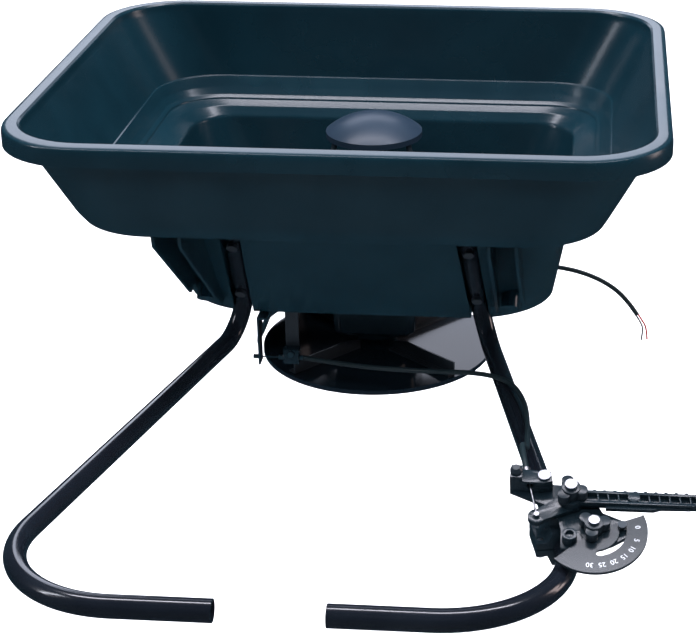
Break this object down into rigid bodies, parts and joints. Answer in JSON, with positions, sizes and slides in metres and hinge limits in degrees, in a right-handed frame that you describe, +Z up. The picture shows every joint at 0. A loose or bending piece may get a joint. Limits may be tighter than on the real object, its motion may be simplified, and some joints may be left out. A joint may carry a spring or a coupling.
{
  "type": "broadcast spreader",
  "caption": "Twelve-volt broadcast spreader: open flared hopper, feed gate with cable lever and dial, finned spinner disc, bent two-tube frame.",
  "frame": {"origin": "midway between the two facing open ends of the frame tubes, on their common axis", "axes": "+Z up, +Y from the tube ends towards the hopper, +X towards the side with the feed lever"},
  "size_m": [0.669, 0.8531, 0.3531],
  "materials": {
    "hopper_plastic": "satin moulded polyethylene",
    "black_plastic": "satin",
    "dome_plastic": "fine matte",
    "frame_paint": "gloss black powder coat",
    "zinc_steel": "bright zinc plate",
    "dark_steel": "black oxide",
    "shaft_steel": "ground",
    "bronze": "sintered bronze",
    "copper": "lacquered windings",
    "magnet": "ferrite",
    "cable_black": "smooth PVC",
    "wire_red": "PVC",
    "wire_grey": "PVC",
    "lever_plastic": "fine matte",
    "knob_plastic": "fine matte"
  },
  "bodies": {
    "frame": {"hopper": "hopper_plastic", "frame_tube_right": "frame_paint", "frame_tube_left": "frame_paint", "tube_caps": "black_plastic", "frame_bolts": "dark_steel", "frame_nuts": "dark_steel", "gate_rails": "black_plastic", "baffle_dome": "dome_plastic", "baffle_stand": "dark_steel", "floor_bush": "bronze", "motor_magnets": "magnet", "motor_can": "dark_steel", "upper_bush": "bronze", "lower_bush": "bronze", "motor_plate": "dark_steel", "motor_spacers": "zinc_steel", "motor_bolts": "zinc_steel", "motor_nuts": "zinc_steel", "motor_cover": "black_plastic", "cord_gland": "cable_black", "deflector": "black_plastic", "deflector_hangers": "dark_steel", "deflector_screws": "zinc_steel", "cable_bracket": "dark_steel", "bracket_screws": "zinc_steel", "gate_cable_clamp": "black_plastic", "gate_ferrule": "shaft_steel", "control_cable": "cable_black", "lever_base": "lever_plastic", "lever_clamp_cap": "lever_plastic", "lever_clamp_screws": "zinc_steel", "cable_block": "lever_plastic", "block_screw": "zinc_steel", "block_stud": "knob_plastic", "cable_ferrule": "shaft_steel", "lever_bolt": "zinc_steel", "dial_stop": "zinc_steel", "dial_bolt": "zinc_steel", "guide_post": "lever_plastic", "power_cord": "cable_black", "red_wire": "wire_red", "black_wire": "wire_grey"},
    "spinner": {"agitator": "zinc_steel", "spinner_shaft": "shaft_steel", "armature": "copper", "spinner_disc": "black_plastic", "spinner_fins": "dark_steel", "hub_pin": "shaft_steel"},
    "gate": {"gate": "zinc_steel", "gate_wire": "shaft_steel"},
    "lever": {"lever_arm": "lever_plastic"},
    "inner_wire": {"lever_wire": "shaft_steel"},
    "lever_knob": {"lever_knob": "knob_plastic"},
    "dial": {"dial": "lever_plastic"},
    "dial_knob": {"dial_knob": "knob_plastic"}
  },
  "joints": [
    {"name": "spinner_spin", "type": "hinge", "parent": "frame", "child": "spinner", "pos_m": [0, 0.6886, -0.0876], "axis": [0, 0, 1], "continuous": true},
    {"name": "gate_slide", "type": "slide", "parent": "frame", "child": "gate", "axis": [1, 0, 0], "range_m": [0, 0.0152]},
    {"name": "lever_turn", "type": "hinge", "parent": "frame", "child": "lever", "pos_m": [0.225, 0.1296, 0.0314], "axis": [0, -0.342, 0.9397], "range_deg": [0, 32]},
    {"name": "wire_tilt", "type": "hinge", "parent": "lever", "child": "inner_wire", "pos_m": [0.198, 0.11269, 0.02524], "axis": [0, -0.342, 0.9397], "range_deg": [-19, 0]},
    {"name": "lever_knob_turn", "type": "hinge", "parent": "frame", "child": "lever_knob", "pos_m": [0.225, 0.1296, 0.0314], "axis": [0, -0.342, 0.9397], "continuous": true},
    {"name": "dial_turn", "type": "hinge", "parent": "frame", "child": "dial", "pos_m": [0.2441, 0.10235, 0.02148], "axis": [0, -0.342, 0.9397], "range_deg": [0, 60]},
    {"name": "dial_knob_turn", "type": "hinge", "parent": "frame", "child": "dial_knob", "pos_m": [0.2441, 0.10235, 0.02148], "axis": [0, -0.342, 0.9397], "continuous": true}
  ],
  "couplings": [
    {"joint": "gate_slide", "follows": "lever_turn", "m_per_rad": 0.027215},
    {"joint": "wire_tilt", "follows": "lever_turn", "ratio": -0.575}
  ]
}
